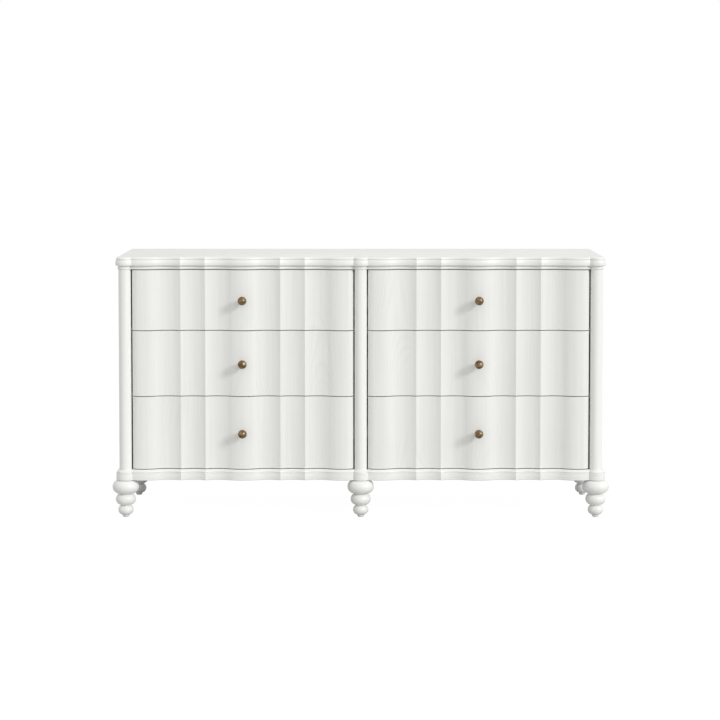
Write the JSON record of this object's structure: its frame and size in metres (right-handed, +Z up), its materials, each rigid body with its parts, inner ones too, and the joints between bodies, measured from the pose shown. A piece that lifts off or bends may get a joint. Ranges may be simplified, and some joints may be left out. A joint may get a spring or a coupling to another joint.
{
  "type": "dresser",
  "caption": "Double dresser with two bays of graduated drawers, scalloped fronts between round posts, moulded top and base, turned legs and ball knobs.",
  "frame": {"origin": "centre of the bounding box on the floor, under the middle of the dresser", "axes": "+Z up, +X along the width, to the viewer's right when facing the drawers; the drawers open towards -Y"},
  "size_m": [1.699, 0.5346, 0.891],
  "materials": {
    "white_paint": "white satin paint over open-grained oak",
    "case_wood": "pine with a thin white primer",
    "back_plywood": "plywood with a thin white primer",
    "drawer_wood": "clear satin lacquer",
    "drawer_plywood": "clear satin lacquer on plywood",
    "zinc_steel": "bright zinc plate",
    "antique_brass": "aged antique brass",
    "nylon": "moulded nylon, off white"
  },
  "bodies": {
    "carcass": {"top_board": "white_paint", "top_under_moulding": "white_paint", "top_frame": "case_wood", "side_panel_left": "white_paint", "side_panel_right": "white_paint", "centre_partition": "case_wood", "back_panel": "back_plywood", "bottom_board": "case_wood", "base_moulding": "white_paint", "base_frame": "case_wood", "front_post_left": "white_paint", "front_post_centre": "white_paint", "front_post_right": "white_paint", "back_posts": "white_paint", "drawer_rails": "case_wood", "slide_cleats": "case_wood", "cabinet_slides": "zinc_steel", "front_leg_left": "white_paint", "front_leg_centre": "white_paint", "front_leg_right": "white_paint", "back_legs": "white_paint", "leg_bolts": "zinc_steel", "foot_glides": "nylon", "carcass_screws": "zinc_steel"},
    "upper_left_drawer": {"upper_left_front": "white_paint", "upper_left_box": "drawer_wood", "upper_left_bottom": "drawer_plywood", "upper_left_knob": "antique_brass", "upper_left_drawer_slides": "zinc_steel"},
    "upper_left_slide_middles": {"upper_left_middle_slides": "zinc_steel"},
    "upper_right_drawer": {"upper_right_front": "white_paint", "upper_right_box": "drawer_wood", "upper_right_bottom": "drawer_plywood", "upper_right_knob": "antique_brass", "upper_right_drawer_slides": "zinc_steel"},
    "upper_right_slide_middles": {"upper_right_middle_slides": "zinc_steel"},
    "middle_left_drawer": {"middle_left_front": "white_paint", "middle_left_box": "drawer_wood", "middle_left_bottom": "drawer_plywood", "middle_left_knob": "antique_brass", "middle_left_drawer_slides": "zinc_steel"},
    "middle_left_slide_middles": {"middle_left_middle_slides": "zinc_steel"},
    "middle_right_drawer": {"middle_right_front": "white_paint", "middle_right_box": "drawer_wood", "middle_right_bottom": "drawer_plywood", "middle_right_knob": "antique_brass", "middle_right_drawer_slides": "zinc_steel"},
    "middle_right_slide_middles": {"middle_right_middle_slides": "zinc_steel"},
    "lower_left_drawer": {"lower_left_front": "white_paint", "lower_left_box": "drawer_wood", "lower_left_bottom": "drawer_plywood", "lower_left_knob": "antique_brass", "lower_left_drawer_slides": "zinc_steel"},
    "lower_left_slide_middles": {"lower_left_middle_slides": "zinc_steel"},
    "lower_right_drawer": {"lower_right_front": "white_paint", "lower_right_box": "drawer_wood", "lower_right_bottom": "drawer_plywood", "lower_right_knob": "antique_brass", "lower_right_drawer_slides": "zinc_steel"},
    "lower_right_slide_middles": {"lower_right_middle_slides": "zinc_steel"}
  },
  "joints": [
    {"name": "upper_left_drawer_slide", "type": "slide", "parent": "carcass", "child": "upper_left_drawer", "axis": [0, -1, 0], "range_m": [0, 0.38]},
    {"name": "upper_left_middle_slide", "type": "slide", "parent": "carcass", "child": "upper_left_slide_middles", "axis": [0, -1, 0], "range_m": [0, 0.19]},
    {"name": "upper_right_drawer_slide", "type": "slide", "parent": "carcass", "child": "upper_right_drawer", "axis": [0, -1, 0], "range_m": [0, 0.38]},
    {"name": "upper_right_middle_slide", "type": "slide", "parent": "carcass", "child": "upper_right_slide_middles", "axis": [0, -1, 0], "range_m": [0, 0.19]},
    {"name": "middle_left_drawer_slide", "type": "slide", "parent": "carcass", "child": "middle_left_drawer", "axis": [0, -1, 0], "range_m": [0, 0.38]},
    {"name": "middle_left_middle_slide", "type": "slide", "parent": "carcass", "child": "middle_left_slide_middles", "axis": [0, -1, 0], "range_m": [0, 0.19]},
    {"name": "middle_right_drawer_slide", "type": "slide", "parent": "carcass", "child": "middle_right_drawer", "axis": [0, -1, 0], "range_m": [0, 0.38]},
    {"name": "middle_right_middle_slide", "type": "slide", "parent": "carcass", "child": "middle_right_slide_middles", "axis": [0, -1, 0], "range_m": [0, 0.19]},
    {"name": "lower_left_drawer_slide", "type": "slide", "parent": "carcass", "child": "lower_left_drawer", "axis": [0, -1, 0], "range_m": [0, 0.38]},
    {"name": "lower_left_middle_slide", "type": "slide", "parent": "carcass", "child": "lower_left_slide_middles", "axis": [0, -1, 0], "range_m": [0, 0.19]},
    {"name": "lower_right_drawer_slide", "type": "slide", "parent": "carcass", "child": "lower_right_drawer", "axis": [0, -1, 0], "range_m": [0, 0.38]},
    {"name": "lower_right_middle_slide", "type": "slide", "parent": "carcass", "child": "lower_right_slide_middles", "axis": [0, -1, 0], "range_m": [0, 0.19]}
  ],
  "couplings": [
    {"joint": "upper_left_middle_slide", "follows": "upper_left_drawer_slide", "ratio": 0.5},
    {"joint": "upper_right_middle_slide", "follows": "upper_right_drawer_slide", "ratio": 0.5},
    {"joint": "middle_left_middle_slide", "follows": "middle_left_drawer_slide", "ratio": 0.5},
    {"joint": "middle_right_middle_slide", "follows": "middle_right_drawer_slide", "ratio": 0.5},
    {"joint": "lower_left_middle_slide", "follows": "lower_left_drawer_slide", "ratio": 0.5},
    {"joint": "lower_right_middle_slide", "follows": "lower_right_drawer_slide", "ratio": 0.5}
  ]
}
